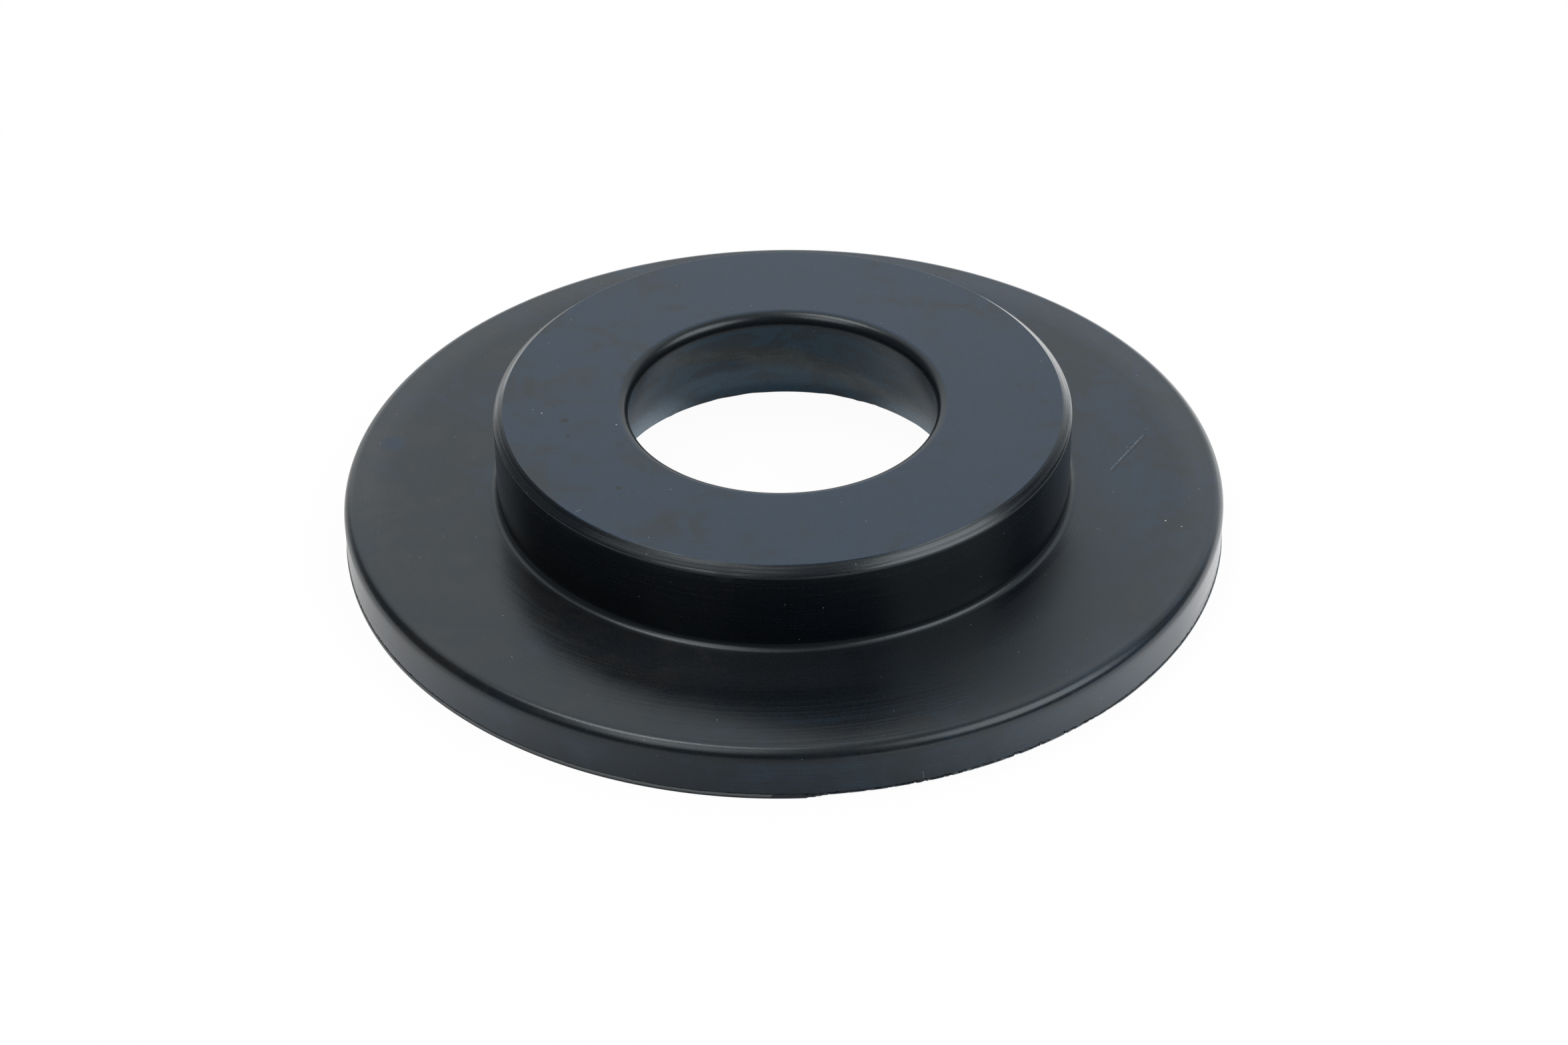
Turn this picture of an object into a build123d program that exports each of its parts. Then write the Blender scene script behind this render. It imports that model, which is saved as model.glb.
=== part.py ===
from build123d import *
import os

# Coil spring insulator, moulded in black rubber as one piece.
# Millimetres, +Z up, with the origin at the centre of the underside.

# Flange, the disc that the spring's end turn bears on.
flange_radius = 65.0
flange_thickness = 7.9
flange_edge_round = 1.2

# Hub, the collar that centres the spring's end turn.
hub_radius = 42.3
total_height = 21.5
hub_chamfer_in = 1.4
hub_chamfer_down = 1.2
hub_root_round = 0.8

# Bore, narrowest under its rounded lip and flared towards the spring seat.
bore_lip_radius = 22.65
bore_lip_round = 1.75
bore_foot_radius = 26.4
bore_foot_round = 0.4

# Recess in the underside, which drops over the boss of the spring seat.
recess_radius = 36.0
recess_depth = 5.0
recess_root_round = 1.0
recess_mouth_chamfer = 0.5

# Mould flash, trimmed close, that stands out round the foot of the flange.
flash_reach = 0.15
flash_height = 0.6
flash_taper = 0.15


def outer_side():
    """The section's outer side, from the recess mouth out and up to the start of the bore lip."""
    flash_radius = flange_radius + flash_reach
    return Polyline(
        (recess_radius, 0),
        (flash_radius, 0),
        (flash_radius, flash_height),
        (flange_radius, flash_height + flash_taper),
        (flange_radius, flange_thickness),
        (hub_radius, flange_thickness),
        (hub_radius, total_height - hub_chamfer_down),
        (hub_radius - hub_chamfer_in, total_height),
        (bore_lip_radius + bore_lip_round, total_height),
    )


def bore_lip():
    """The quarter round from the hub's top face into the bore, vertical where it meets the flared wall."""
    centre = (bore_lip_radius + bore_lip_round, total_height - bore_lip_round)
    return CenterArc(centre, bore_lip_round, 90, 90)


def inner_side():
    """The section's inner side, from under the lip down the flare and out round the recess."""
    return Polyline(
        (bore_lip_radius, total_height - bore_lip_round),
        (bore_foot_radius, recess_depth),
        (recess_radius, recess_depth),
        (recess_radius, 0),
    )


def corner(face, radius, height):
    """The section's vertex at a radius and a height."""
    return face.vertices().sort_by_distance((radius, height))[0]


def half_section():
    """Half section of the moulding, with X as the radius and Y as the height."""
    face = make_face([outer_side(), bore_lip(), inner_side()])
    rounds = [
        (flange_radius, flange_thickness, flange_edge_round),
        (hub_radius, flange_thickness, hub_root_round),
        (bore_foot_radius, recess_depth, bore_foot_round),
        (recess_radius, recess_depth, recess_root_round),
    ]
    for radius, height, size in rounds:
        face = fillet(corner(face, radius, height), size)
    return chamfer(corner(face, recess_radius, 0), recess_mouth_chamfer)


def insulator():
    """The whole moulding, its half section turned once round the vertical axis."""
    return revolve(Plane.XZ * half_section(), Axis.Z)


os.makedirs("parts", exist_ok=True)
export_step(insulator(), "parts/insulator.step")
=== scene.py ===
"""Coil spring insulator in black moulded rubber: its looks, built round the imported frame."""

import math
import random

import bmesh
import bpy
from bpy.props import FloatProperty, FloatVectorProperty, IntProperty, PointerProperty
from mathutils import Matrix, Vector


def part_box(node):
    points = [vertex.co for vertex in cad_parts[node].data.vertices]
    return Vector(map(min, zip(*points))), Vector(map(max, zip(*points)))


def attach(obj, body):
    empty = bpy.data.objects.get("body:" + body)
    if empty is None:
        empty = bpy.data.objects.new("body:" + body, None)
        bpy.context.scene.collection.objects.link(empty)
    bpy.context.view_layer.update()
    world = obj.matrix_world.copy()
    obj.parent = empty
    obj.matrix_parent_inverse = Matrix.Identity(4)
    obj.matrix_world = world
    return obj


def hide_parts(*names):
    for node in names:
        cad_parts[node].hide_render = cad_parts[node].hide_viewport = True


bl_info = {
    "name": "Coil Spring Insulator",
    "version": (1, 0, 0),
    "blender": (4, 5, 0),
    "location": "3D View > Sidebar > Insulator",
    "description": "Models a moulded rubber coil spring insulator and the studio it stands in",
    "category": "Add Mesh",
}

MM = 0.001
NODE = "insulator"
BODY = "root"
HAIR = 0.005 * MM
FLANGE_RADIUS = 65.0

# The foot's trimming, in degrees of azimuth from +X towards +Y: where a sweep starts, and how far it runs.
UNDERCUT_SWEEP = (272, 44)
RIGHT_SIDE_SWEEP = (310, 120)
SHAVE_STROKES = 6
SHAVE_FADE = 5.0
# How far in the foot's own points reach, and how far in the shaving reaches, in undercuts.
FOOT_REACH = 1.5
SHAVE_REACH = 1.3
TEAR_SEED = 11
RUFFLE_SEED = 5

# Nicks in the foot's edge: azimuth in degrees, and how far up they reach, in mm.
NICKS = ((-74.6, 0.2), (-61.4, 0.2))

# Rows of points on the foot's outer side, from the top down, as shares of the torn line's height.
ROW_SHARES = (1.38, 1.12, 1.0, 0.88, 0.62, 0.3, 0.08)
ABOVE_TEAR_ROW = 1
TEAR_ROW = 2
CUT_ROW = 3
FLASH_ROW = 4
LOW_ROW = 5

# Kinds of sockets.
VECTOR = "NodeSocketVector"
NUMBER = "NodeSocketFloat"
COLOUR = "NodeSocketColor"

# Names of the mesh's own marks: its torn line, and the cut face under it.
TORN = "torn"
CUT = "cut"
# Where the cut face shows grey: the start and the length of a sweep in degrees, and how strongly.
CUT_SWEEPS = ((130, 90, 0.7), (220, 48, 1.0))

# Small marks on the rubber, in mm on the part: middle, radius, softness.
SMUDGES = (
    ((-31.6, -5.0, 21.5), 0.9, 0.6), ((-31.0, -8.9, 21.5), 0.6, 0.5), ((-23.3, -22.1, 21.5), 0.7, 0.5),
    ((-8.2, -41.6, 20.9), 2.2, 1.4),
)
BROWN_PATCHES = (((42.75, -1.3, 7.9), 1.6, 1.2), ((-46.0, -20.0, 7.9), 3.0, 3.0))
BLUE_PATCHES = (((-58.5, 9.6, 7.9), 2.6, 1.8),)
LINT = (
    ((-35.05, -3.0, 21.5), 0.13, 0.06), ((-24.1, -6.2, 21.5), 0.12, 0.06), ((55.5, -12.8, 7.9), 0.16, 0.06),
    ((57.7, -14.3, 7.9), 0.14, 0.06),
)
# Scratches, in mm on the part: start, end, width.
LIGHT_SCRATCHES = (
    ((-19.2, 36.2, 21.5), (-19.0, 36.8, 21.5), 0.18), ((-29.3, -27.9, 21.5), (-28.5, -27.3, 21.5), 0.08),
    ((48.5, 0.3, 7.9), (54.2, 9.4, 7.9), 0.09), ((18.41, -62.34, 2.16), (18.61, -62.28, 0.58), 0.07),
    ((45.4, -14.6, 7.9), (45.9, -14.9, 7.9), 0.07),
)
DARK_SCRATCHES = (((48.8, -0.1, 7.9), (54.5, 9.0, 7.9), 0.22),)

# Rings that the turned mould left, in mm: how far apart they are, and how far one runs before it fades.
MOULD_RINGS = (0.28, 12)
CHAMFER_RINGS = (0.35, 60)
ROOT_RINGS = (0.09, 30)

# Depths of the shading's bumps, in mm.
GRAIN_DEPTH = 0.006
BRUSHED_DEPTH = 0.010
ROOT_RING_DEPTH = 0.015
CHAMFER_LINE_DEPTH = 0.02
DISH_LIFT = 1.0

SMOOTH_ANGLE = 32
RUBBER_IOR = 1.5
BLUISH_SHEEN = (0.80, 0.92, 1.0, 1.0)

# Softboxes: name, setting that holds the brightness, azimuth and elevation in degrees, distance, width
# and height in metres, colour.
SOFTBOXES = (
    ("right_softbox", "right_lamp", -23, 44, 1.2, 0.88, 0.62, (1.0, 0.97, 0.94)),
    ("front_softbox", "front_lamp", -130, 54, 1.2, 0.50, 0.52, (1.0, 0.95, 0.90)),
    ("left_softbox", "left_lamp", 175, 72, 1.0, 0.24, 0.40, (1.0, 0.94, 0.88)),
)
# The pale wall: azimuth and elevation of its middle, how far from there its light starts and is full, in
# degrees, and how many times as bright it is at its foot.
PALE_WALL = (86, 30)
WALL_EDGES = (55, 35)
WALL_FOOT = 1.5
WALL_TINT = (0.95, 0.98, 1.0)
# Elevations at which the ceiling's light starts and is full, in degrees.
CEILING_EDGES = (48, 80)
SENSOR_WIDTH = 36
FLOOR_RADIUS = 5.0
FLOOR_GAP = 0.02 * MM

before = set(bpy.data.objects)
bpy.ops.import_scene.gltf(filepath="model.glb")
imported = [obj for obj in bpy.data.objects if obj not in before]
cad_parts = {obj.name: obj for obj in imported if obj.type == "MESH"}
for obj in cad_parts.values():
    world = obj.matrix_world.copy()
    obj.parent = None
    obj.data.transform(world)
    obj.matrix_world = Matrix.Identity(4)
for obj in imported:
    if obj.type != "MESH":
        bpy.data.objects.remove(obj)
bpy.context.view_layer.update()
node_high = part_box(NODE)[1]


def size_property(name, description, millimetres):
    """A length that the sidebar shows in the scene's units."""
    return FloatProperty(
        name=name, description=description, default=millimetres * MM, min=0.0, precision=5, unit="LENGTH"
    )


def colour_property(name, description, colour):
    """A linear colour with a swatch in the sidebar."""
    return FloatVectorProperty(
        name=name, description=description, default=colour, min=0.0, max=1.0, size=3, subtype="COLOR"
    )


class PadSizes(bpy.types.PropertyGroup):
    """Sizes of the pad, measured from its axis and from its underside."""

    total_height: size_property("Total Height", "From the underside to the top of the hub", node_high.z / MM)
    flange_radius: size_property("Flange Radius", "Radius above the mould flash", FLANGE_RADIUS)
    flange_thickness: size_property("Flange Thickness", "Height of the face that the spring bears on", 7.9)
    rim_bevel: size_property("Rim Bevel", "Worn bevel on the flange's upper edge", 1.1)
    rim_inner_round: size_property("Rim Inner Round", "Round between the bevel and the flange's top", 1.3)
    rim_outer_round: size_property("Rim Outer Round", "Round between the bevel and the flange's side", 1.6)
    hub_radius: size_property("Hub Radius", "Radius of the collar that centres the spring", 42.3)
    chamfer_in: size_property("Chamfer In", "How far the hub's chamfer reaches towards the axis", 1.4)
    chamfer_down: size_property("Chamfer Down", "How far the hub's chamfer reaches down", 1.2)
    chamfer_edge_round: size_property("Chamfer Edge Round", "Softness of the chamfer's two edges", 0.1)
    hub_root_round: size_property("Hub Root Round", "Round where the hub meets the flange", 1.1)
    bore_lip_radius: size_property("Bore Lip Radius", "Narrowest radius of the bore, under its lip", 22.65)
    bore_lip_round: size_property("Bore Lip Round", "Round on the mouth of the bore", 1.75)
    bore_foot_radius: size_property("Bore Foot Radius", "Radius of the bore where it meets the recess", 26.4)
    bore_foot_round: size_property("Bore Foot Round", "Round on the bore's lower edge", 0.4)
    recess_radius: size_property("Recess Radius", "Radius of the recess in the underside", 36.0)
    recess_depth: size_property("Recess Depth", "Depth of the recess in the underside", 5.0)
    recess_root_round: size_property("Recess Root Round", "Round in the corner of the recess", 1.0)
    recess_mouth_chamfer: size_property("Recess Mouth Chamfer", "Chamfer on the mouth of the recess", 0.5)
    turn_steps: IntProperty(
        name="Turn Steps", description="Steps in which the section is spun", default=1440, min=90, max=1600
    )


class FootSizes(bpy.types.PropertyGroup):
    """Sizes of the trimmed mould flash round the flange's foot, and of the bore's ragged edge."""

    flash_reach: size_property("Flash Reach", "How far it stands out", node_high.x / MM - FLANGE_RADIUS)
    tear_height: size_property("Tear Height", "Height of the torn line above the underside", 0.68)
    tear_depth: size_property("Tear Depth", "Depth of the groove along the torn line", 0.07)
    undercut: size_property("Undercut", "How far the trimming knife cut under the right front", 0.8)
    jag: size_property("Jag", "Random raggedness of the torn line", 0.03)
    torn_jag: size_property("Torn Jag", "The same where the knife undercut the flash", 0.06)
    wander: size_property("Wander", "How far the torn line strays up and down", 0.05)
    wanders: IntProperty(name="Wanders", description="Places where the torn line strays", default=70, min=0)
    chip: size_property("Chip", "Size of the chips in the undercut edge", 0.11)
    chips: IntProperty(name="Chips", description="Chips in the undercut edge", default=40, min=0)
    ruffle: size_property("Ruffle", "How far the bore's lower edge strays", 0.1)
    ruffles: IntProperty(name="Ruffles", description="Places where it strays", default=36, min=0)


class RubberLook(bpy.types.PropertyGroup):
    """Colours and gloss of the rubber, with colours that paint light and shade on it."""

    black: colour_property("Black", "The rubber's own colour", (0.0035, 0.0050, 0.0068))
    blue_bloom: colour_property("Blue Bloom", "Where wax bloom looks blue", (0.0025, 0.0135, 0.0330))
    brown_bloom: colour_property("Brown Bloom", "Where wax bloom looks brown", (0.0130, 0.0122, 0.0122))
    bore_blue: colour_property("Bore Blue", "Blue swirls of bloom in the bore", (0.0015, 0.0320, 0.0640))
    bore_brown: colour_property("Bore Brown", "Brown swirls of bloom in the bore", (0.0440, 0.0480, 0.0400))
    # Painted light: a pale painted reflection at the sides of the bore's foot, not the rubber's own colour.
    bore_foot_painted_light: colour_property("Bore Grey", "Grey bloom at the bore's foot", (0.2900, 0.4000, 0.5000))
    side_blue: colour_property("Side Blue", "Blue bloom on the flange's side", (0.0060, 0.0180, 0.0360))
    cut_grey: colour_property("Cut Grey", "The cut face of the mould flash", (0.100, 0.106, 0.114))
    torn_black: colour_property("Torn Black", "The groove along the torn line", (0.006, 0.0065, 0.007))
    # Partly a thin grey haze, partly painted sheen that stands in for broad reflections on the flange.
    haze_and_sheen: colour_property("Haze", "Thin grey haze on the flange", (0.060, 0.066, 0.074))
    smudge: colour_property("Smudge", "Dark smudges on the bloom", (0.0015, 0.0020, 0.0026))
    dust: colour_property("Dust", "Specks of dust and lint", (0.42, 0.44, 0.46))
    roughness: FloatProperty(
        name="Roughness", description="Roughness of the moulded face", default=0.21, min=0.0, max=1.0
    )
    torn_roughness: FloatProperty(
        name="Torn Roughness", description="Roughness of the torn and cut rubber", default=0.5,
        min=0.0, max=1.0,
    )


class StudioLook(bpy.types.PropertyGroup):
    """The camera, the lamps and the floor."""

    camera_distance: size_property("Camera Distance", "From the pad's origin to the camera", 553.1)
    camera_elevation: FloatProperty(
        name="Camera Elevation", description="Height of the camera above the horizon",
        default=math.radians(35.662), subtype="ANGLE",
    )
    camera_tilt: FloatProperty(
        name="Camera Tilt", description="How far the camera looks below the origin",
        default=math.radians(0.066), subtype="ANGLE",
    )
    camera_roll: FloatProperty(
        name="Camera Roll", description="Lean of the camera about its own axis",
        default=math.radians(-0.714), subtype="ANGLE",
    )
    lens: FloatProperty(name="Lens", description="Focal length on a 36 mm sensor, in mm", default=84.93)
    floor_colour: colour_property("Floor Colour", "The floor's own colour", (0.86, 0.86, 0.86))
    floor_glow: FloatProperty(
        name="Floor Glow", description="Share of the floor that stays white in shadow", default=0.96,
        min=0.0, max=1.0,
    )
    mirrored_glow: FloatProperty(
        name="Mirrored Glow", description="The same share in reflections, close to the pad", default=0.5,
        min=0.0, max=1.0,
    )
    far_floor: FloatProperty(
        name="Far Floor", description="Brightness of the floor behind the pad in reflections", default=2.2
    )
    right_lamp: FloatProperty(name="Right Lamp", description="Brightness of the right softbox", default=3.4)
    front_lamp: FloatProperty(
        name="Front Lamp", description="Brightness of the softbox at the front left", default=2.8
    )
    left_lamp: FloatProperty(name="Left Lamp", description="Brightness of the high left softbox", default=7.5)
    room: colour_property("Room", "The dim room round the studio", (0.12, 0.125, 0.13))
    backdrop: FloatProperty(name="Backdrop", description="Brightness of the pale wall behind", default=1.15)
    ceiling: FloatProperty(name="Ceiling", description="Brightness straight above", default=0.5)


def near(value, target, slack=HAIR):
    """Whether a length is where it should be."""
    return abs(value - target) < slack


def pick(kind, chosen):
    """In edit mode, selects what isn't hidden of the vertices, edges or faces whose middle is chosen."""
    bpy.ops.mesh.select_mode(type=kind)
    bpy.ops.mesh.select_all(action="DESELECT")
    mesh = bpy.context.edit_object.data
    shape = bmesh.from_edit_mesh(mesh)
    if kind == "VERT":
        found = [v for v in shape.verts if not v.hide and chosen(v.co)]
    elif kind == "EDGE":
        found = [
            e for e in shape.edges if not e.hide and chosen((e.verts[0].co + e.verts[1].co) / 2)
        ]
    else:
        found = [f for f in shape.faces if not f.hide and chosen(f.calc_center_median())]
    if not found:
        raise RuntimeError(f"nothing of kind {kind} lies where it was looked for")
    for part in found:
        part.select_set(True)
    shape.select_flush_mode()
    bmesh.update_edit_mesh(mesh)


def pick_all():
    """In edit mode, selects everything."""
    bpy.ops.mesh.select_mode(type="VERT")
    bpy.ops.mesh.select_all(action="SELECT")


def cut_level(height):
    """Cuts what is selected along a level line."""
    bpy.ops.mesh.bisect(plane_co=(0, 0, height), plane_no=(0, 0, 1), threshold=HAIR)


def cut_upright(radius):
    """Cuts what is selected along an upright line."""
    bpy.ops.mesh.bisect(plane_co=(radius, 0, 0), plane_no=(1, 0, 0), threshold=HAIR)


def pull(offset):
    """Extrudes what is selected by an offset."""
    bpy.ops.mesh.extrude_region_move(TRANSFORM_OT_translate={"value": offset})


def round_corner(radius, height, round_size, segments, corner=math.pi / 2):
    """Rounds the section's corner at a radius and a height; corner is the angle between its two sides."""
    pick("VERT", lambda place: near(place.x, radius) and near(place.z, height))
    bpy.ops.mesh.bevel(
        offset_type="OFFSET", offset=round_size / math.tan(corner / 2), segments=segments,
        profile=0.5, affect="VERTICES", clamp_overlap=False,
    )


def start_section(sizes):
    """Adds the hub's half section as an upright plane, and leaves it in edit mode."""
    width = sizes.hub_radius - sizes.bore_foot_radius
    height = sizes.total_height - sizes.recess_depth
    middle = (sizes.bore_foot_radius + width / 2, 0, sizes.recess_depth + height / 2)
    bpy.ops.object.select_all(action="DESELECT")
    bpy.ops.mesh.primitive_plane_add(size=1.0, location=middle, rotation=(math.pi / 2, 0, 0))
    pad = bpy.context.active_object
    pad.name = "moulded_pad"
    pad.scale = (width, height, 1)
    bpy.ops.object.transform_apply(location=True, rotation=True, scale=True)
    bpy.ops.object.mode_set(mode="EDIT")
    return pad


def flare_bore(sizes):
    """Draws the top of the bore in, so that the wall flares from the lip down to the recess."""
    lip_foot = sizes.total_height - sizes.bore_lip_round
    pick_all()
    cut_level(lip_foot)
    pick("VERT", lambda place: near(place.x, sizes.bore_foot_radius) and place.z > lip_foot - HAIR)
    bpy.ops.transform.translate(value=(sizes.bore_lip_radius - sizes.bore_foot_radius, 0, 0))


def draw_flange(sizes):
    """Pulls the flange out of the hub's side and its foot down to the underside."""
    pick_all()
    cut_level(sizes.flange_thickness)
    pick("EDGE", lambda place: near(place.x, sizes.hub_radius) and place.z < sizes.flange_thickness)
    pull((sizes.flange_radius - sizes.hub_radius, 0, 0))
    pick_all()
    cut_upright(sizes.recess_radius)
    pick("EDGE", lambda place: near(place.z, sizes.recess_depth) and place.x > sizes.recess_radius)
    pull((0, 0, -sizes.recess_depth))


def cut_chamfer(sizes):
    """Cuts the slanted chamfer off the hub's upper edge."""
    pick("FACE", lambda place: place.z > sizes.flange_thickness)
    bpy.ops.mesh.bisect(
        plane_co=(sizes.hub_radius, 0, sizes.total_height - sizes.chamfer_down),
        plane_no=Vector((sizes.chamfer_down, 0, sizes.chamfer_in)).normalized(), clear_outer=True,
        threshold=HAIR,
    )


def round_section(sizes):
    """Joins the section into one face and rounds its corners."""
    pick_all()
    bpy.ops.mesh.dissolve_faces()
    lip_foot = sizes.total_height - sizes.bore_lip_round
    flare = math.atan2(sizes.bore_foot_radius - sizes.bore_lip_radius, lip_foot - sizes.recess_depth)
    slope = math.atan2(sizes.chamfer_down, sizes.chamfer_in)
    round_corner(sizes.flange_radius, sizes.flange_thickness, sizes.rim_bevel, 1)
    round_corner(
        sizes.flange_radius - sizes.rim_bevel, sizes.flange_thickness, sizes.rim_inner_round, 4,
        math.pi * 3 / 4,
    )
    round_corner(
        sizes.flange_radius, sizes.flange_thickness - sizes.rim_bevel, sizes.rim_outer_round, 6,
        math.pi * 3 / 4,
    )
    round_corner(sizes.hub_radius, sizes.flange_thickness, sizes.hub_root_round, 6)
    round_corner(
        sizes.hub_radius, sizes.total_height - sizes.chamfer_down, sizes.chamfer_edge_round, 2,
        math.pi / 2 + slope,
    )
    round_corner(
        sizes.hub_radius - sizes.chamfer_in, sizes.total_height, sizes.chamfer_edge_round, 2,
        math.pi - slope,
    )
    round_corner(sizes.bore_lip_radius, sizes.total_height, sizes.bore_lip_round, 14)
    round_corner(
        sizes.bore_foot_radius, sizes.recess_depth, sizes.bore_foot_round, 3, math.pi / 2 + flare
    )
    round_corner(sizes.recess_radius, sizes.recess_depth, sizes.recess_root_round, 4)
    round_corner(sizes.recess_radius, 0, sizes.recess_mouth_chamfer, 1)


def row_heights(foot):
    """Heights of the rows of points on the foot's outer side, from the top down."""
    return [foot.tear_height * share for share in ROW_SHARES]


def draw_foot(sizes, foot):
    """Turns the face into an open line and gives the flange's outer side its rows of points."""
    pick("FACE", lambda place: True)
    bpy.ops.mesh.delete(type="ONLY_FACE")
    rows = row_heights(foot)
    side_top = sizes.flange_thickness - sizes.rim_bevel
    for height in rows:
        pick("EDGE", lambda place: near(place.x, sizes.flange_radius) and place.z < side_top)
        cut_level(height)
    pick("EDGE", lambda place: near(place.z, 0) and place.x > sizes.recess_radius)
    cut_upright(sizes.flange_radius - FOOT_REACH * foot.undercut)
    pick("VERT", lambda place: near(place.x, sizes.flange_radius) and place.z < rows[TEAR_ROW] - HAIR)
    bpy.ops.transform.translate(value=(foot.flash_reach / 2, 0, 0))
    pick("VERT", lambda place: place.x > sizes.flange_radius + HAIR and near(place.z, rows[FLASH_ROW]))
    bpy.ops.transform.translate(value=(foot.flash_reach / 4, 0, 0))
    pick("VERT", lambda place: near(place.x, sizes.flange_radius) and near(place.z, rows[TEAR_ROW]))
    bpy.ops.transform.translate(value=(-foot.tear_depth, 0, 0))


def turn_past(place, start):
    """How many degrees a place lies past an azimuth, from 0 to 360."""
    return (math.degrees(math.atan2(place.y, place.x)) - start) % 360


def shave_foot(sizes, foot, start, length, top_row, depth):
    """Cuts the foot's lower edge inwards over some degrees, in strokes that shorten so that it fades out."""
    rows = [*row_heights(foot), 0.0]
    reach = sizes.flange_radius - SHAVE_REACH * foot.undercut
    for number in range(top_row, len(rows)):
        height = rows[number]
        inwards = depth * (1 - height / rows[top_row]) + foot.flash_reach / 2
        for stroke in range(SHAVE_STROKES):
            fade = SHAVE_FADE * (stroke + 0.5) / SHAVE_STROKES
            pick("VERT", lambda place: near(place.z, height) and place.xy.length > reach
                 and fade < turn_past(place, start) < length - fade)
            scale = 1 - inwards / SHAVE_STROKES / sizes.flange_radius
            bpy.ops.transform.resize(value=(scale, scale, 1), center_override=(0, 0, 0))


def mark_foot(sizes, foot):
    """Notes on the mesh which rows of points are torn and which are cut, for the rubber's colours."""
    rows = row_heights(foot)
    reach = sizes.flange_radius - 2 * foot.tear_depth
    bpy.ops.object.mode_set(mode="OBJECT")
    for name in (TORN, CUT):
        bpy.ops.geometry.attribute_add(name=name, domain="POINT", data_type="FLOAT")
    bpy.ops.object.mode_set(mode="EDIT")
    attributes = bpy.context.edit_object.data.attributes
    attributes.active = attributes[TORN]
    pick("VERT", lambda place: near(place.z, rows[TEAR_ROW]) and place.xy.length > reach)
    bpy.ops.mesh.attribute_set(value_float=1.0)
    attributes.active = attributes[CUT]
    for start, length, share in CUT_SWEEPS:
        pick("VERT", lambda place: rows[FLASH_ROW] - HAIR < place.z < rows[CUT_ROW] + HAIR
             and place.xy.length > reach and turn_past(place, start) < length)
        bpy.ops.mesh.attribute_set(value_float=share)


def stray(dice, count, width, height, shortest, longest):
    """Moves what isn't hidden up or down at random places round the pad, fading out over some mm."""
    for _ in range(count):
        azimuth = dice.uniform(0, 360)
        pick("VERT", lambda place: turn_past(place, azimuth) < width)
        bpy.ops.transform.translate(
            value=(0, 0, dice.uniform(-height, height)), use_proportional_edit=True,
            proportional_edit_falloff="SMOOTH", proportional_size=dice.uniform(shortest, longest) * MM,
        )


def tear_foot(sizes, foot):
    """Makes the torn line wander and roughens it, and chips the undercut edge."""
    rows = row_heights(foot)
    dice = random.Random(TEAR_SEED)
    step = 360 / sizes.turn_steps
    reach = sizes.flange_radius - 2 * foot.tear_depth
    pick("VERT", lambda place: rows[FLASH_ROW] - HAIR < place.z < rows[ABOVE_TEAR_ROW] + HAIR
         and place.xy.length > reach)
    bpy.ops.mesh.hide(unselected=True)
    stray(dice, foot.wanders, 2 * step, foot.wander, 1.0, 5.0)
    start, length = UNDERCUT_SWEEP
    for _ in range(foot.chips):
        azimuth = start + dice.uniform(0.05, 0.95) * length
        pick("VERT", lambda place: turn_past(place, azimuth) < step)
        bpy.ops.transform.translate(value=(0, 0, dice.uniform(0.3, 1.0) * foot.chip))
    for azimuth, depth in NICKS:
        pick("VERT", lambda place: turn_past(place, azimuth) < step)
        bpy.ops.transform.translate(value=(0, 0, depth * MM))
    bpy.ops.mesh.reveal(select=False)
    for start, length, jag in ((0, 360, foot.jag), (*UNDERCUT_SWEEP, foot.torn_jag)):
        pick("VERT", lambda place: rows[CUT_ROW] - 2 * foot.wander < place.z < rows[0] - HAIR
             and place.xy.length > reach and turn_past(place, start) < length)
        bpy.ops.transform.vertex_random(offset=jag, uniform=0.0, normal=0.0, seed=TEAR_SEED)


def ruffle_bore(sizes, foot):
    """Makes the bore's lower edge stray a little up and down."""
    dice = random.Random(RUFFLE_SEED)
    margin = 2 * sizes.bore_foot_round
    pick("VERT", lambda place: place.xy.length < sizes.bore_foot_radius + margin
         and place.z < sizes.recess_depth + margin)
    bpy.ops.mesh.hide(unselected=True)
    stray(dice, foot.ruffles, 360 / sizes.turn_steps, foot.ruffle, 0.6, 3.0)
    bpy.ops.mesh.reveal(select=False)


def spin_section(pad, sizes):
    """Spins the section once round the axis and closes the seam."""
    bpy.ops.object.mode_set(mode="OBJECT")
    bpy.ops.object.modifier_add(type="SCREW")
    turn = pad.modifiers[-1]
    turn.axis = "Z"
    turn.angle = math.tau
    turn.steps = sizes.turn_steps
    turn.render_steps = sizes.turn_steps
    turn.use_merge_vertices = True
    turn.merge_threshold = HAIR
    bpy.ops.object.modifier_apply(modifier=turn.name)
    bpy.ops.object.mode_set(mode="EDIT")
    pick_all()
    bpy.ops.mesh.remove_doubles(threshold=HAIR)
    bpy.ops.mesh.normals_make_consistent(inside=False)


def soften(pad):
    """Smooths the pad's shading, with the flats kept flat."""
    bpy.ops.object.shade_smooth_by_angle(angle=math.radians(SMOOTH_ANGLE))
    bpy.ops.object.modifier_add(type="WEIGHTED_NORMAL")
    weighted = pad.modifiers[-1]
    weighted.keep_sharp = True
    bpy.ops.object.modifier_apply(modifier=weighted.name)


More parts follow.
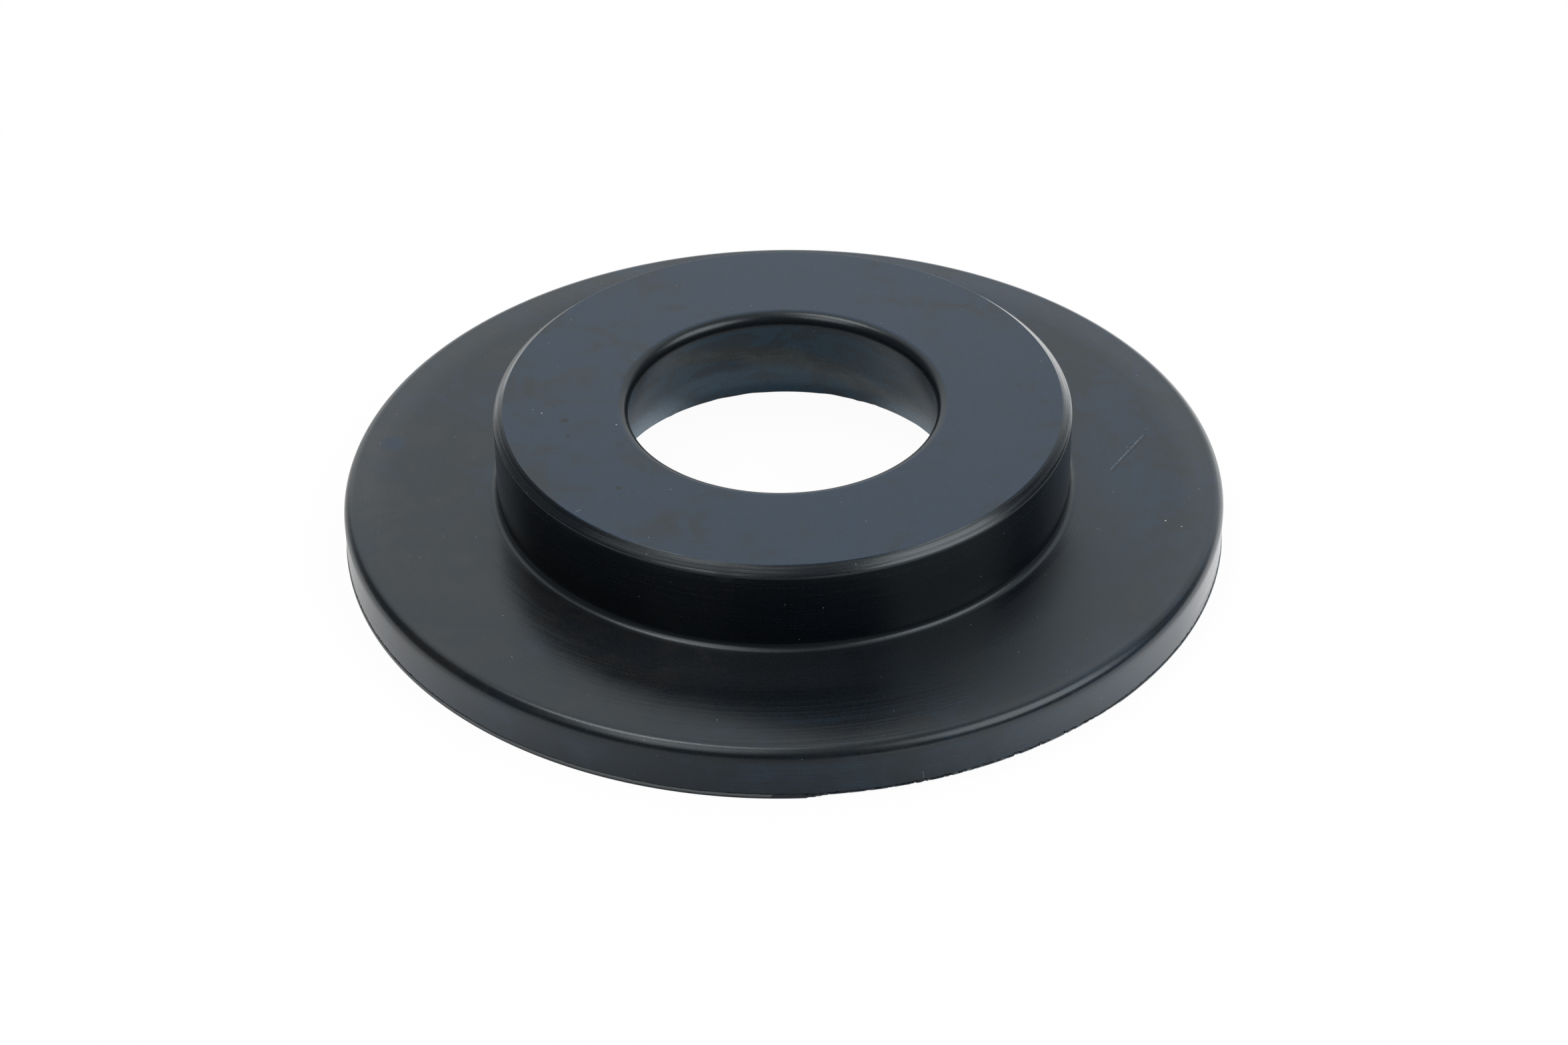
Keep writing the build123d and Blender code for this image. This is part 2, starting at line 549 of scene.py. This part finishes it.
class Wiring:
    """Adds shader nodes to one tree and links them."""

    def __init__(self, tree):
        self.tree = tree

    def add(self, kind, inputs=None, **settings):
        """Adds a node; inputs are values or sockets by name or number."""
        node = self.tree.nodes.new(kind)
        for name, value in settings.items():
            setattr(node, name, value)
        for key, value in (inputs or {}).items():
            self.feed(node.inputs[key], value)
        return node

    def feed(self, socket, value):
        """Links a socket into another, or sets its value."""
        if isinstance(value, bpy.types.NodeSocket):
            self.tree.links.new(value, socket)
        else:
            socket.default_value = value

    def maths(self, operation, *values, clamp=False):
        """A maths node's result."""
        node = self.add("ShaderNodeMath", dict(enumerate(values)), operation=operation, use_clamp=clamp)
        return node.outputs[0]

    def times(self, *values):
        """The product of two or more values."""
        product, *others = values
        for value in others:
            product = self.maths("MULTIPLY", product, value)
        return product

    def plus(self, first, second):
        """The sum of two values."""
        return self.maths("ADD", first, second)

    def minus(self, first, second):
        """What is left of the first value without the second."""
        return self.maths("SUBTRACT", first, second)

    def greatest(self, *values):
        """The greatest of two or more values."""
        found, *others = values
        for value in others:
            found = self.maths("MAXIMUM", found, value)
        return found

    def blend(self, share, first, second):
        """A value between two values."""
        return self.plus(first, self.times(share, self.minus(second, first)))

    def vector(self, operation, *values):
        """A vector maths node's vector."""
        node = self.add("ShaderNodeVectorMath", dict(enumerate(values)), operation=operation)
        return node.outputs["Vector"]

    def measure(self, operation, *values):
        """A vector maths node's value, such as a length."""
        node = self.add("ShaderNodeVectorMath", dict(enumerate(values)), operation=operation)
        return node.outputs["Value"]

    def scaled(self, vector, factor):
        """A vector or a colour times a factor."""
        node = self.add("ShaderNodeVectorMath", {0: vector}, operation="SCALE")
        self.feed(node.inputs["Scale"], factor)
        return node.outputs["Vector"]

    def ramp(self, value, start, end, low=0.0, high=1.0):
        """A value that runs smoothly from low to high as the input runs from start to end."""
        node = self.add(
            "ShaderNodeMapRange",
            {"Value": value, "From Min": start, "From Max": end, "To Min": low, "To Max": high},
            interpolation_type="SMOOTHSTEP",
        )
        return node.outputs["Result"]

    def rise(self, length, start, end, low=0.0, high=1.0):
        """A ramp over a length, whose start and end are in mm."""
        return self.ramp(length, start * MM, end * MM, low, high)

    def mix(self, share, first, second):
        """A colour between two colours."""
        node = self.add("ShaderNodeMix", data_type="RGBA")
        self.feed(node.inputs["Factor"], share)
        self.feed(node.inputs[6], first)
        self.feed(node.inputs[7], second)
        return node.outputs[2]

    def noise(self, place, scale, detail=2.0, roughness=0.5, distortion=0.0):
        """A noise texture's value."""
        node = self.add(
            "ShaderNodeTexNoise",
            {"Vector": place, "Scale": scale, "Detail": detail, "Roughness": roughness,
             "Distortion": distortion},
        )
        return node.outputs[0]


def new_group(name, inputs, outputs):
    """A shader node group with named sockets, and its wiring, entry and exit."""
    tree = bpy.data.node_groups.new(name, "ShaderNodeTree")
    for label, kind, default in inputs:
        socket = tree.interface.new_socket(name=label, in_out="INPUT", socket_type=kind)
        if default is not None:
            socket.default_value = default
    for label, kind in outputs:
        tree.interface.new_socket(name=label, in_out="OUTPUT", socket_type=kind)
    wiring = Wiring(tree)
    return tree, wiring, wiring.add("NodeGroupInput").outputs, wiring.add("NodeGroupOutput").inputs


def turned_rings_group():
    """Fine rings that the turned mould left, which come and go round the pad."""
    tree, wiring, given, result = new_group(
        "turned_rings",
        [("Position", VECTOR, None), ("Spacing", NUMBER, 0.5 * MM), ("Run", NUMBER, 40 * MM)],
        [("Height", NUMBER)],
    )
    radius = wiring.measure("LENGTH", wiring.vector("MULTIPLY", given["Position"], (1, 1, 0)))
    level = wiring.add("ShaderNodeSeparateXYZ", {0: given["Position"]}).outputs["Z"]
    across = wiring.add(
        "ShaderNodeCombineXYZ",
        {"X": wiring.maths("DIVIDE", radius, given["Spacing"]),
         "Y": wiring.maths("DIVIDE", level, given["Spacing"])},
    ).outputs[0]
    drift = wiring.scaled(given["Position"], wiring.maths("DIVIDE", 1.0, given["Run"]))
    place = wiring.vector("ADD", across, drift)
    wiring.feed(result["Height"], wiring.noise(place, 1.0, detail=3.0, roughness=0.6))
    return tree


def bloom_group():
    """Cloudy patches of wax bloom, blue in some places and brown in others; lean shifts them to blue."""
    tree, wiring, given, result = new_group(
        "wax_bloom",
        [("Position", VECTOR, None), ("Patch", NUMBER, 6 * MM), ("Lean", NUMBER, 0.0),
         ("Plain", COLOUR, (0, 0, 0, 1)), ("Blue", COLOUR, (0, 0, 1, 1)),
         ("Brown", COLOUR, (1, 0.5, 0, 1))],
        [("Color", COLOUR), ("Mask", NUMBER)],
    )
    scale = wiring.maths("DIVIDE", 1.0, given["Patch"])
    wide = wiring.noise(given["Position"], wiring.times(scale, 0.4), detail=3.0, distortion=0.6)
    cloud = wiring.noise(given["Position"], scale, detail=4.0, roughness=0.6, distortion=1.2)
    both = wiring.plus(wiring.times(wide, 0.5), wiring.times(cloud, 0.5))
    both = wiring.plus(both, given["Lean"])
    blue = wiring.ramp(both, 0.47, 0.66)
    brown = wiring.ramp(both, 0.50, 0.36)
    colour = wiring.mix(blue, given["Plain"], given["Blue"])
    wiring.feed(result["Color"], wiring.mix(brown, colour, given["Brown"]))
    wiring.feed(result["Mask"], both)
    return tree


def soft_spot_group():
    """A round spot with a soft edge."""
    tree, wiring, given, result = new_group(
        "soft_spot",
        [("Position", VECTOR, None), ("Centre", VECTOR, None), ("Reach", NUMBER, 1 * MM),
         ("Softness", NUMBER, 0.5 * MM), ("Ragged", NUMBER, 0.5)],
        [("Mask", NUMBER)],
    )
    away = wiring.measure("DISTANCE", given["Position"], given["Centre"])
    worn = wiring.times(wiring.minus(given["Ragged"], 0.5), given["Softness"])
    away = wiring.plus(away, worn)
    inner = wiring.minus(given["Reach"], given["Softness"])
    wiring.feed(result["Mask"], wiring.ramp(away, given["Reach"], inner))
    return tree


def scratch_group():
    """A thin straight scratch from one place to another, ragged along its length."""
    tree, wiring, given, result = new_group(
        "scratch_stroke",
        [("Position", VECTOR, None), ("Start", VECTOR, None), ("End", VECTOR, None),
         ("Width", NUMBER, 0.1 * MM), ("Ragged", NUMBER, 0.5)],
        [("Mask", NUMBER)],
    )
    run = wiring.vector("SUBTRACT", given["End"], given["Start"])
    out = wiring.vector("SUBTRACT", given["Position"], given["Start"])
    along = wiring.measure("DOT_PRODUCT", out, run)
    share = wiring.maths("DIVIDE", along, wiring.measure("DOT_PRODUCT", run, run), clamp=True)
    away = wiring.measure("DISTANCE", out, wiring.scaled(run, share))
    width = wiring.times(given["Width"], wiring.ramp(given["Ragged"], 0.35, 0.6, 0.2, 1.0))
    wiring.feed(result["Mask"], wiring.ramp(away, width, wiring.times(width, 0.5)))
    return tree


def specks_group():
    """Sparse specks of dust."""
    tree, wiring, given, result = new_group(
        "dust_specks",
        [("Position", VECTOR, None), ("Cell", NUMBER, 1.6 * MM),
         ("Speck", NUMBER, 0.08 * MM), ("Share", NUMBER, 0.35)],
        [("Mask", NUMBER)],
    )
    scale = wiring.maths("DIVIDE", 1.0, given["Cell"])
    cells = wiring.add("ShaderNodeTexVoronoi", {"Vector": given["Position"], "Scale": scale})
    chances = wiring.add("ShaderNodeSeparateColor", {0: cells.outputs["Color"]}).outputs
    reach = wiring.times(given["Speck"], scale, wiring.ramp(chances[1], 0.0, 1.0, 0.3, 1.0))
    inside = wiring.maths("LESS_THAN", cells.outputs["Distance"], reach)
    kept = wiring.maths("LESS_THAN", chances[0], given["Share"])
    wiring.feed(result["Mask"], wiring.times(inside, kept))
    return tree


def rgba(colour):
    """A colour property as the four numbers that a socket takes."""
    return (*colour, 1.0)


def place_group(wiring, group, inputs):
    """Places a node group with its own values and returns its outputs."""
    node = wiring.add("ShaderNodeGroup", None, node_tree=group)
    for name, value in inputs.items():
        wiring.feed(node.inputs[name], value)
    return node.outputs


def in_mm(place):
    """A place in mm as a vector in metres."""
    return tuple(length * MM for length in place)


def spots(wiring, group, place, marks):
    """The joint mask of several soft spots; place holds the sockets that every one of them takes."""
    mask = 0.0
    for centre, reach, softness in marks:
        spot = place_group(wiring, group, {
            **place, "Centre": in_mm(centre), "Reach": reach * MM, "Softness": softness * MM,
        })
        mask = wiring.greatest(mask, spot["Mask"])
    return mask


def scratches(wiring, group, place, marks):
    """The joint mask of several scratches; place holds the sockets that every one of them takes."""
    mask = 0.0
    for start, end, width in marks:
        stroke = place_group(wiring, group, {
            **place, "Start": in_mm(start), "End": in_mm(end), "Width": width * MM,
        })
        mask = wiring.greatest(mask, stroke["Mask"])
    return mask


class PadPlaces:
    """Masks for the parts of the pad's surface, worked out from Object coordinates."""

    def __init__(self, wiring, position):
        axes = wiring.add("ShaderNodeSeparateXYZ", {0: position}).outputs
        self.rise, self.both, self.either = wiring.rise, wiring.times, wiring.greatest
        self.wiring = wiring
        self.across, self.depth, self.level = axes["X"], axes["Y"], axes["Z"]
        self.radius = wiring.measure("LENGTH", wiring.vector("MULTIPLY", position, (1, 1, 0)))
        self.hub_top = self.rise(self.level, 21.38, 21.48)
        self.chamfer = self.both(self.rise(self.level, 20.2, 20.35), self.rise(self.radius, 40.7, 40.9))
        self.bore = self.both(self.rise(self.radius, 27.3, 26.9), self.rise(self.level, 19.9, 19.1))
        self.lip = self.both(self.rise(self.radius, 25.2, 24.4), self.rise(self.level, 19.2, 19.8))
        self.flange = self.rise(self.radius, 42.9, 43.5)
        self.root = self.both(
            self.rise(self.radius, 44.0, 43.3), self.rise(self.radius, 41.9, 42.2),
            self.rise(self.level, 9.6, 8.9),
        )
        self.rim = self.both(self.rise(self.radius, 62.6, 63.3), self.rise(self.level, 5.4, 6.4))
        self.side = self.both(self.rise(self.radius, 64.3, 64.9), self.rise(self.level, 7.0, 5.4))

    def rest(self, mask, share=1.0):
        """What a mask leaves over, where it takes the given share."""
        return self.wiring.minus(1.0, self.both(mask, share))


def bloom_and_mirror_shade(places):
    """How much bloom shows: all on top, in the bore and on the side; little at the flange's front, as painted
    shade.
    """
    front = places.rise(places.across, 0, -25, 0.12, 0.6)
    back = places.either(front, places.rise(places.depth, -38, -8))
    rim = places.rise(places.radius, 56, 60, 0.12, 0.6)
    # Painted shade: bloom held back where the flange mirrors the dark hub.
    hub_mirror_shade = places.both(
        places.rise(places.radius, 54, 46), places.rise(places.depth, 0, -20),
        places.rise(places.across, -5, 15),
    )
    flange = places.both(places.flange, places.either(back, rim), places.rest(hub_mirror_shade, 0.85))
    return places.either(places.hub_top, flange, places.bore, places.side, 0.06)


def bloom_lean(wiring, places):
    """Leans the bloom to blue on the hub's top and at the back right, and to brown at the left."""
    across = wiring.plus(places.across, wiring.times(places.depth, 0.55))
    lean = wiring.rise(across, -65, 55, -0.05, 0.08)
    return wiring.plus(lean, wiring.times(places.hub_top, 0.12))


def bore_colour(wiring, places, position, look):
    """Blue bloom in the bore, a brown swirl that slants across it, and a painted reflection at its foot's
    sides.
    """
    drawn_out = wiring.vector("MULTIPLY", position, (1, 1, 2.2))
    swirl = wiring.noise(drawn_out, 1 / (14 * MM), detail=3.0, roughness=0.5, distortion=0.8)
    slant = wiring.plus(places.level, wiring.times(places.across, 0.24))
    slant = wiring.plus(slant, wiring.times(wiring.minus(swirl, 0.5), 8 * MM))
    brown = places.both(
        places.rise(slant, 10.0, 12.5), places.rise(slant, 15.5, 13.0),
        places.rise(places.across, -24, -12),
    )
    streaks = wiring.noise(drawn_out, 1 / (8 * MM), detail=4.0, roughness=0.55, distortion=1.2)
    faint = wiring.ramp(streaks, 0.40, 0.56, 0.45, 1.0)
    aside = wiring.maths("ABSOLUTE", places.across)
    # Where the painted reflection goes: the sides of the bore's foot, and faintly a band just above it.
    aside = places.both(places.rise(aside, 12, 23), places.rise(aside, 24.5, 22, 0.4, 1.0))
    foot = places.both(places.rise(places.level, 12, 4.5), aside)
    low = places.both(places.rise(places.level, 6.5, 8), places.rise(places.level, 12, 10))
    foot = places.either(foot, places.both(low, 0.07))
    colour = wiring.mix(wiring.times(brown, 0.8), rgba(look.bore_blue), rgba(look.bore_brown))
    colour = wiring.mix(faint, rgba(look.black), colour)
    return wiring.mix(foot, colour, rgba(look.bore_foot_painted_light))


def dished_front(places):
    """Height of the flange's lift towards its rim at the front right, which darkens what it mirrors."""
    return places.both(
        places.rise(places.radius, 52, 72), places.rise(places.across, -14, 12),
        places.rise(places.depth, -8, -34),
    )


def flange_haze_and_sheen(places):
    """Where thin grey haze and painted sheen lie on the flange: to its rim at back and left, and before the
    hub.
    """
    rim = places.both(places.rise(places.radius, 57, 62), places.rise(places.depth, -30, 10, 0.0, 0.24))
    front = places.both(
        places.rise(places.radius, 53, 49), places.rise(places.depth, -20, -38, 0.0, 0.09),
        places.rise(places.across, 22, 2),
    )
    return places.both(places.flange, places.either(rim, front))


def dull_share(places, worn, smudged, front_left, lines):
    """How far the gloss falls to that of torn rubber: where it is worn, smudged, lined or rounded."""
    front_right = places.both(
        places.rise(places.radius, 43, 46), places.rise(places.across, 10, 36),
        places.rise(places.depth, -8, -24), places.rise(places.radius, 63.5, 62),
    )
    return places.either(
        worn, places.both(smudged, 0.6), places.both(front_left, 0.25), places.both(lines, 0.9),
        places.both(front_right, 0.5), places.both(places.lip, 0.28),
        places.both(places.either(places.root, places.rim), 0.3),
    )


def rubber_material(look, groups):
    """Black moulded rubber with turning rings, wax bloom, small marks and dust, and painted light and shade.
    """
    material = bpy.data.materials.new("moulded_rubber")
    material.use_nodes = True
    wiring = Wiring(material.node_tree)
    shader = material.node_tree.nodes["Principled BSDF"]
    position = wiring.add("ShaderNodeTexCoord").outputs["Object"]
    torn = wiring.add("ShaderNodeAttribute", attribute_name=TORN).outputs["Fac"]
    cut = wiring.add("ShaderNodeAttribute", attribute_name=CUT).outputs["Fac"]
    places = PadPlaces(wiring, position)
    bloom = place_group(wiring, groups["bloom"], {
        "Position": position, "Patch": 6 * MM, "Lean": bloom_lean(wiring, places),
        "Plain": rgba(look.black), "Blue": rgba(look.blue_bloom), "Brown": rgba(look.brown_bloom),
    })
    rings, turned, fine = (
        place_group(wiring, groups["rings"], {
            "Position": position, "Spacing": spacing * MM, "Run": run * MM,
        })["Height"]
        for spacing, run in (MOULD_RINGS, CHAMFER_RINGS, ROOT_RINGS)
    )
    specks = place_group(wiring, groups["specks"], {"Position": position})
    grain = wiring.noise(position, 1 / (0.13 * MM), detail=2.0)

    bloomed = wiring.mix(places.bore, bloom["Color"], bore_colour(wiring, places, position, look))
    cloud = wiring.ramp(bloom["Mask"], 0.38, 0.60, 0.3, 1.2)
    side = wiring.mix(cloud, rgba(look.black), rgba(look.side_blue))
    bloomed = wiring.mix(places.side, bloomed, side)
    streaks = wiring.ramp(rings, 0.35, 0.65, 0.45, 0.0)
    # Bloom, with painted shade where the flange's front mirrors the dark hub.
    streaked = places.both(bloom_and_mirror_shade(places), places.rest(places.both(streaks, places.flange)))
    bloomed = wiring.mix(streaked, rgba(look.black), bloomed)
    # Lightens the flange with thin haze and painted sheen.
    bloomed = wiring.mix(flange_haze_and_sheen(places), bloomed, rgba(look.haze_and_sheen))
    place = {"Position": position, "Ragged": wiring.noise(position, 1 / (0.5 * MM), detail=2.0)}
    colour = wiring.mix(
        spots(wiring, groups["spot"], place, BROWN_PATCHES), bloomed, rgba(look.brown_bloom)
    )
    colour = wiring.mix(spots(wiring, groups["spot"], place, BLUE_PATCHES), colour, rgba(look.blue_bloom))
    smudged = places.either(
        spots(wiring, groups["spot"], place, SMUDGES),
        scratches(wiring, groups["scratch"], place, DARK_SCRATCHES),
    )
    colour = wiring.mix(smudged, colour, rgba(look.smudge))
    colour = wiring.scaled(colour, wiring.ramp(grain, 0.3, 0.7, 0.6, 1.4))
    colour = wiring.mix(cut, colour, rgba(look.cut_grey))
    colour = wiring.mix(wiring.ramp(torn, 0.1, 0.6), colour, rgba(look.torn_black))
    scratched = scratches(wiring, groups["scratch"], place, LIGHT_SCRATCHES)
    pale = places.either(places.both(specks["Mask"], 0.5), spots(wiring, groups["spot"], place, LINT))
    colour = wiring.mix(wiring.times(scratched, 0.3), colour, rgba(look.dust))
    colour = wiring.mix(pale, colour, rgba(look.dust))
    wiring.feed(shader.inputs["Base Color"], colour)

    front_left = places.both(
        places.chamfer, places.rise(places.across, 12, -4), places.rise(places.depth, -26, -36)
    )
    lines = places.both(
        wiring.ramp(turned, 0.50, 0.40), places.either(front_left, places.both(places.chamfer, 0.4))
    )
    worn = wiring.maths("MAXIMUM", torn, cut, clamp=True)
    dull = dull_share(places, worn, smudged, front_left, lines)
    shine = wiring.ramp(rings, 0.3, 0.7, look.roughness - 0.04, look.roughness + 0.04)
    shine = wiring.plus(shine, wiring.ramp(grain, 0.3, 0.7, -0.04, 0.04))
    wiring.feed(shader.inputs["Roughness"], wiring.blend(dull, shine, look.torn_roughness))
    shader.inputs["IOR"].default_value = RUBBER_IOR
    shader.inputs["Specular Tint"].default_value = BLUISH_SHEEN

    brushed = places.both(rings, wiring.ramp(places.flange, 0.0, 1.0, 0.35, 1.0))
    normal = None
    for depth, height in (
        (GRAIN_DEPTH, grain), (BRUSHED_DEPTH, brushed), (ROOT_RING_DEPTH, places.both(fine, places.root)),
        (CHAMFER_LINE_DEPTH, lines), (DISH_LIFT, dished_front(places)),
    ):
        bump = wiring.add("ShaderNodeBump", {"Strength": 1.0, "Distance": depth * MM, "Height": height})
        if normal:
            wiring.feed(bump.inputs["Normal"], normal)
        normal = bump.outputs["Normal"]
    wiring.feed(shader.inputs["Normal"], normal)
    return material


class INSULATOR_OT_mould_pad(bpy.types.Operator):
    """Model the pad as one rubber moulding, spun from its half section"""

    bl_idname = "insulator.mould_pad"
    bl_label = "Mould the Pad"
    bl_options = {"REGISTER", "UNDO"}

    def execute(self, context):
        """Builds the moulding, gives it its rubber and sets it in the frame."""
        sizes = context.scene.pad_sizes
        foot = context.scene.foot_sizes
        look = context.scene.rubber_look
        pad = start_section(sizes)
        flare_bore(sizes)
        draw_flange(sizes)
        cut_chamfer(sizes)
        round_section(sizes)
        draw_foot(sizes, foot)
        spin_section(pad, sizes)
        mark_foot(sizes, foot)
        shave_foot(sizes, foot, *UNDERCUT_SWEEP, FLASH_ROW, foot.undercut)
        shave_foot(sizes, foot, *RIGHT_SIDE_SWEEP, LOW_ROW, foot.undercut / 2)
        tear_foot(sizes, foot)
        ruffle_bore(sizes, foot)
        bpy.ops.object.mode_set(mode="OBJECT")
        soften(pad)
        groups = {
            "rings": turned_rings_group(), "bloom": bloom_group(), "specks": specks_group(),
            "spot": soft_spot_group(), "scratch": scratch_group(),
        }
        pad.data.materials.append(rubber_material(look, groups))
        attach(pad, BODY)
        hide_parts(NODE)
        return {"FINISHED"}


def towards(azimuth, elevation):
    """A direction from angles in degrees; azimuth 0 is +X and 90 is +Y."""
    turn, rise = math.radians(azimuth), math.radians(elevation)
    return Vector((math.cos(turn) * math.cos(rise), math.sin(turn) * math.cos(rise), math.sin(rise)))


def add_softbox(name, azimuth, elevation, distance, width, height, level, colour):
    """Adds an area lamp aimed at the pad; level is how bright it looks, where 1 is white."""
    out = towards(azimuth, elevation)
    bpy.ops.object.light_add(type="AREA", location=out * distance)
    lamp = bpy.context.active_object
    lamp.name = name
    lamp.rotation_euler = out.to_track_quat("Z", "Y").to_euler()
    lamp.data.shape = "RECTANGLE"
    lamp.data.size = width
    lamp.data.size_y = height
    lamp.data.energy = 4 * level * width * height
    lamp.data.color = colour
    lamp.visible_camera = False


def add_camera(studio):
    """Adds the camera at the photograph's angle."""
    elevation = studio.camera_elevation
    back = Vector((0, -math.cos(elevation), math.sin(elevation)))
    bpy.ops.object.camera_add(location=back * studio.camera_distance)
    camera = bpy.context.active_object
    camera.name = "camera"
    look_down = Matrix.Rotation(math.pi / 2 - elevation - studio.camera_tilt, 3, "X")
    lean = Matrix.Rotation(studio.camera_roll, 3, "Z")
    camera.rotation_euler = (look_down @ lean).to_euler()
    camera.data.sensor_width = SENSOR_WIDTH
    camera.data.lens = studio.lens
    camera.data.clip_start = 0.01
    camera.data.clip_end = 50
    bpy.context.scene.camera = camera


def mirrored_floor(wiring, studio, position, radius):
    """Brightness of the floor as the pad mirrors it: dim under the pad, brighter beside and behind it."""
    axes = wiring.add("ShaderNodeSeparateXYZ", {0: position}).outputs
    left = wiring.times(
        wiring.rise(axes["X"], 0, -58, 0.3, 1.15), wiring.rise(axes["Y"], 25, 60, 1.0, 0.15)
    )
    outside = wiring.greatest(wiring.rise(axes["X"], 0, 58, 0.3, 2.0), left)
    inside = wiring.times(
        wiring.rise(axes["Y"], 17, 20, 0.15, 0.5), wiring.rise(axes["Y"], 21, 26.5, 1.0, 0.2),
        wiring.rise(radius, 26, 28, 1.0, 0.25),
    )
    close = wiring.blend(wiring.rise(radius, 50, 62), inside, outside)
    far = wiring.times(wiring.rise(axes["X"], -50, 50, 1.05, 1.15), studio.far_floor)
    return wiring.blend(wiring.rise(axes["Y"], 75, 190), close, far)


def floor_material(studio):
    """Pale paper, white to the camera and in reflections, that keeps part of the pad's shadow."""
    material = bpy.data.materials.new("pale_floor")
    material.use_nodes = True
    tree = material.node_tree
    tree.nodes.clear()
    wiring = Wiring(tree)
    position = wiring.add("ShaderNodeTexCoord").outputs["Object"]
    radius = wiring.measure("LENGTH", position)
    path = wiring.add("ShaderNodeLightPath").outputs
    seen = path["Is Camera Ray"]
    mirrored = wiring.greatest(path["Is Glossy Ray"], path["Is Transmission Ray"])
    share = wiring.rise(radius, 75, 130, studio.mirrored_glow, 0.9)
    glow = wiring.greatest(wiring.times(seen, studio.floor_glow), wiring.times(mirrored, share))
    strength = wiring.greatest(
        seen, wiring.times(mirrored, mirrored_floor(wiring, studio, position, radius))
    )
    white = wiring.add("ShaderNodeEmission", {"Color": (1, 1, 1, 1), "Strength": strength})
    paper = wiring.add("ShaderNodeBsdfDiffuse", {"Color": rgba(studio.floor_colour)})
    lit = wiring.add("ShaderNodeMixShader", {0: glow, 1: paper.outputs[0], 2: white.outputs[0]})
    clear = wiring.add("ShaderNodeBsdfTransparent")
    below = wiring.add("ShaderNodeNewGeometry").outputs["Backfacing"]
    sheet = wiring.add("ShaderNodeMixShader", {0: below, 1: lit.outputs[0], 2: clear.outputs[0]})
    wiring.add("ShaderNodeOutputMaterial", {"Surface": sheet.outputs[0]})
    return material


def add_floor(studio):
    """Adds a wide round floor under the pad."""
    bpy.ops.mesh.primitive_circle_add(
        vertices=96, radius=FLOOR_RADIUS, fill_type="NGON", location=(0, 0, -FLOOR_GAP)
    )
    floor = bpy.context.active_object
    floor.name = "floor"
    bpy.ops.object.transform_apply(location=True)
    floor.data.materials.append(floor_material(studio))


def light_room(studio):
    """Lights the world: a dim room with a pale wall behind the pad."""
    world = bpy.data.worlds.new("room")
    bpy.context.scene.world = world
    world.use_nodes = True
    tree = world.node_tree
    tree.nodes.clear()
    wiring = Wiring(tree)
    direction = wiring.add("ShaderNodeTexCoord").outputs["Generated"]
    facing = wiring.measure("DOT_PRODUCT", direction, tuple(towards(*PALE_WALL)))
    share = wiring.ramp(facing, *(math.cos(math.radians(angle)) for angle in WALL_EDGES))
    height = wiring.add("ShaderNodeSeparateXYZ", {0: direction}).outputs["Z"]
    glow = wiring.ramp(height, 0.1, 0.0, studio.backdrop, WALL_FOOT * studio.backdrop)
    pale = wiring.scaled(WALL_TINT, glow)
    wall_light = wiring.mix(share, rgba(studio.room), pale)
    overhead = wiring.ramp(height, *(math.sin(math.radians(angle)) for angle in CEILING_EDGES))
    above = (studio.ceiling, studio.ceiling, studio.ceiling, 1.0)
    ceiling = wiring.mix(overhead, rgba(studio.room), above)
    colour = wiring.add("ShaderNodeMix", data_type="RGBA", blend_type="LIGHTEN")
    wiring.feed(colour.inputs["Factor"], 1.0)
    wiring.feed(colour.inputs[6], wall_light)
    wiring.feed(colour.inputs[7], ceiling)
    light = wiring.add("ShaderNodeBackground", {"Color": colour.outputs[2], "Strength": 1.0})
    wiring.add("ShaderNodeOutputWorld", {"Surface": light.outputs[0]})


class INSULATOR_OT_set_studio(bpy.types.Operator):
    """Set up the floor, the lamps and the camera"""

    bl_idname = "insulator.set_studio"
    bl_label = "Set Up the Studio"
    bl_options = {"REGISTER", "UNDO"}

    def execute(self, context):
        """Builds the studio round the pad."""
        studio = context.scene.studio_look
        add_floor(studio)
        for name, setting, *place, colour in SOFTBOXES:
            add_softbox(name, *place, getattr(studio, setting), colour)
        light_room(studio)
        add_camera(studio)
        view = context.scene.view_settings
        view.view_transform = "Standard"
        return {"FINISHED"}


class INSULATOR_PT_sidebar(bpy.types.Panel):
    """Lists the pad's and the studio's operators and settings"""

    bl_idname = "INSULATOR_PT_sidebar"
    bl_label = "Coil Spring Insulator"
    bl_space_type = "VIEW_3D"
    bl_region_type = "UI"
    bl_category = "Insulator"

    def draw(self, context):
        """Draws the buttons, with the settings that each one reads under it."""
        steps = (
            (INSULATOR_OT_mould_pad, ("pad_sizes", "foot_sizes", "rubber_look")),
            (INSULATOR_OT_set_studio, ("studio_look",)),
        )
        for operator, settings in steps:
            box = self.layout.box()
            box.operator(operator.bl_idname)
            for name in settings:
                values = getattr(context.scene, name)
                for key in values.bl_rna.properties.keys():
                    if key not in {"rna_type", "name"}:
                        box.prop(values, key)


SETTINGS = {
    "pad_sizes": PadSizes,
    "foot_sizes": FootSizes,
    "rubber_look": RubberLook,
    "studio_look": StudioLook,
}
CLASSES = (*SETTINGS.values(), INSULATOR_OT_mould_pad, INSULATOR_OT_set_studio, INSULATOR_PT_sidebar)


def register():
    """Registers the classes and gives the scene their settings."""
    for kind in CLASSES:
        bpy.utils.register_class(kind)
    for name, kind in SETTINGS.items():
        setattr(bpy.types.Scene, name, PointerProperty(type=kind))


def unregister():
    """Takes the settings and the classes away again."""
    for name in SETTINGS:
        delattr(bpy.types.Scene, name)
    for kind in reversed(CLASSES):
        bpy.utils.unregister_class(kind)


def main():
    """Builds the pad and its studio."""
    register()
    bpy.ops.insulator.mould_pad()
    bpy.ops.insulator.set_studio()


if __name__ == "__main__":
    main()
